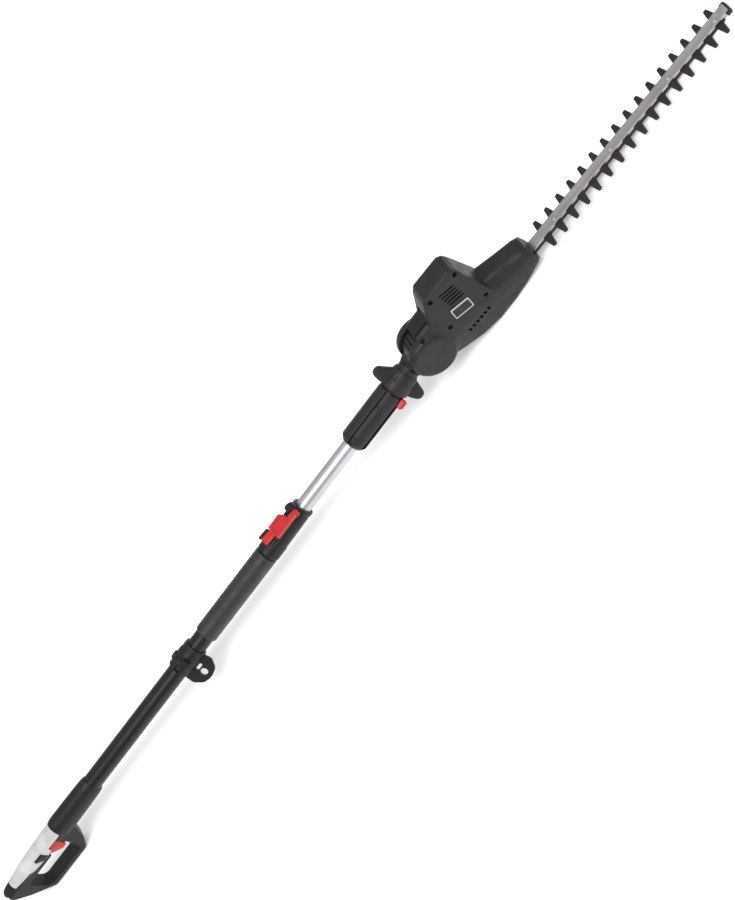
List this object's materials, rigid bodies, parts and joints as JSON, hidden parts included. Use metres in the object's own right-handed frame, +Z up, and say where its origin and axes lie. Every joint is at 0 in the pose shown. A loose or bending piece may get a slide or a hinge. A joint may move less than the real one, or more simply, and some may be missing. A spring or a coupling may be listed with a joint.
{
  "type": "pole hedge trimmer",
  "caption": "Electric pole hedge trimmer: loop handle, telescopic pole with flip clamp, plug-in coupling, tilting motor head and a double-sided reciprocating cutter bar.",
  "frame": {"origin": "middle of the footprint's box, on the surface that the trimmer lies on", "axes": "+X along the pole from the handle to the cutter's tip, +Z up, away from the guard bar's foot"},
  "size_m": [1.7958, 0.062, 0.1403],
  "materials": {
    "black_plastic": "fine-textured moulded",
    "grey_plastic": "satin moulded",
    "pale_plastic": "satin moulded",
    "red_plastic": "semi-gloss moulded",
    "black_tube": "black semi-gloss painted tube",
    "silver_tube": "drawn, clear anodised tube",
    "foam": "closed-cell foam",
    "steel": "bright zinc-plated and ground",
    "dark_steel": "black oxide",
    "copper": "enamelled winding wire"
  },
  "bodies": {
    "handle": {"handle_shell_left": "black_plastic", "handle_shell_right": "black_plastic", "grip_cover": "pale_plastic", "handle_screw_1": "dark_steel", "handle_screw_2": "dark_steel", "trigger_pin": "steel", "trigger_spring": "steel", "power_switch": "grey_plastic", "cord_inlet": "grey_plastic", "lower_tube": "black_tube", "foam_grip": "foam", "strap_bracket_lug": "black_plastic", "strap_bracket_cap": "black_plastic", "strap_bracket_bolt_1": "steel", "strap_bracket_bolt_2": "steel", "clamp_collar": "black_plastic", "lever_pin": "steel", "guide_bush": "grey_plastic"},
    "trigger": {"trigger": "red_plastic"},
    "lock_off": {"lock_off_button": "black_plastic"},
    "clamp_lever": {"clamp_lever": "red_plastic", "lever_tab": "black_plastic"},
    "upper_pole": {"upper_tube": "silver_tube", "tube_end_plug": "grey_plastic", "coupling_shell_left": "grey_plastic", "coupling_shell_right": "grey_plastic", "coupling_screw_1": "dark_steel", "coupling_screw_2": "dark_steel", "coupling_screw_3": "dark_steel", "coupling_screw_4": "dark_steel", "button_spring": "steel", "neck_knuckle": "grey_plastic"},
    "coupling_button": {"coupling_button": "red_plastic"},
    "release_collar": {"release_collar": "grey_plastic"},
    "head": {"head_shell_left": "grey_plastic", "head_shell_right": "grey_plastic", "head_screw_1": "dark_steel", "head_screw_2": "dark_steel", "head_screw_3": "dark_steel", "head_screw_4": "dark_steel", "head_screw_5": "dark_steel", "name_plate": "pale_plastic", "rocker_pin": "steel", "hinge_bolt": "steel", "motor_can": "dark_steel", "gear_axle": "steel", "guide_bar": "steel", "blade_bolt_1": "steel", "blade_bolt_2": "steel", "blade_bolt_3": "steel", "blade_bolt_4": "steel", "tip_guard": "black_plastic"},
    "tilt_rocker": {"tilt_rocker": "black_plastic"},
    "motor": {"armature": "copper", "cooling_fan": "black_plastic"},
    "gear": {"drive_gear": "steel"},
    "upper_blade": {"upper_blade": "dark_steel"},
    "lower_blade": {"lower_blade": "dark_steel"}
  },
  "joints": [
    {"name": "telescope", "type": "slide", "parent": "handle", "child": "upper_pole", "axis": [1, 0, 0], "range_m": [0, 0.45]},
    {"name": "clamp_lever", "type": "hinge", "parent": "handle", "child": "clamp_lever", "pos_m": [-0.06357, -0.00629, 0.08756], "axis": [0, 0.9563, 0.2924], "range_deg": [0, 100]},
    {"name": "trigger", "type": "hinge", "parent": "handle", "child": "trigger", "pos_m": [-0.75957, 0, 0.058], "axis": [0, 1, 0], "range_deg": [0, 8], "stiffness_Nm_per_rad": 0.15, "springref_deg": -8.59, "deforming": ["trigger_spring"]},
    {"name": "lock_off", "type": "slide", "parent": "handle", "child": "lock_off", "axis": [0, 1, 0], "range_m": [0, 0.0025], "stiffness_N_per_m": 200, "springref_m": -0.002},
    {"name": "coupling_button", "type": "slide", "parent": "upper_pole", "child": "coupling_button", "axis": [0, 0.788, 0.6157], "range_m": [0, 0.0025], "stiffness_N_per_m": 300, "springref_m": -0.002, "deforming": ["button_spring"]},
    {"name": "release_collar", "type": "hinge", "parent": "upper_pole", "child": "release_collar", "pos_m": [0.18943, 0, 0.067], "axis": [1, 0, 0], "range_deg": [0, 40]},
    {"name": "head_tilt", "type": "hinge", "parent": "upper_pole", "child": "head", "pos_m": [0.25743, 0, 0.067], "axis": [0, 1, 0], "range_deg": [-45, 75]},
    {"name": "tilt_rocker", "type": "hinge", "parent": "head", "child": "tilt_rocker", "pos_m": [0.28564, 0, 0.10308], "axis": [0, 1, 0], "range_deg": [0, 10], "stiffness_Nm_per_rad": 0.05, "springref_deg": -5.73},
    {"name": "motor_spin", "type": "hinge", "parent": "head", "child": "motor", "pos_m": [0.34938, 0, 0.06395], "axis": [0.0332, 0, 0.9995], "continuous": true},
    {"name": "gear_spin", "type": "hinge", "parent": "head", "child": "gear", "pos_m": [0.37276, 0, 0.06317], "axis": [0.0332, 0, 0.9995], "continuous": true},
    {"name": "upper_blade", "type": "slide", "parent": "head", "child": "upper_blade", "axis": [0.9995, 0, -0.0332], "range_m": [-0.0063, 0.0063]},
    {"name": "lower_blade", "type": "slide", "parent": "head", "child": "lower_blade", "axis": [0.9995, 0, -0.0332], "range_m": [-0.0063, 0.0063]}
  ],
  "couplings": [
    {"joint": "gear_spin", "follows": "motor_spin", "ratio": -0.2381},
    {"joint": "lower_blade", "follows": "upper_blade", "ratio": -1}
  ]
}
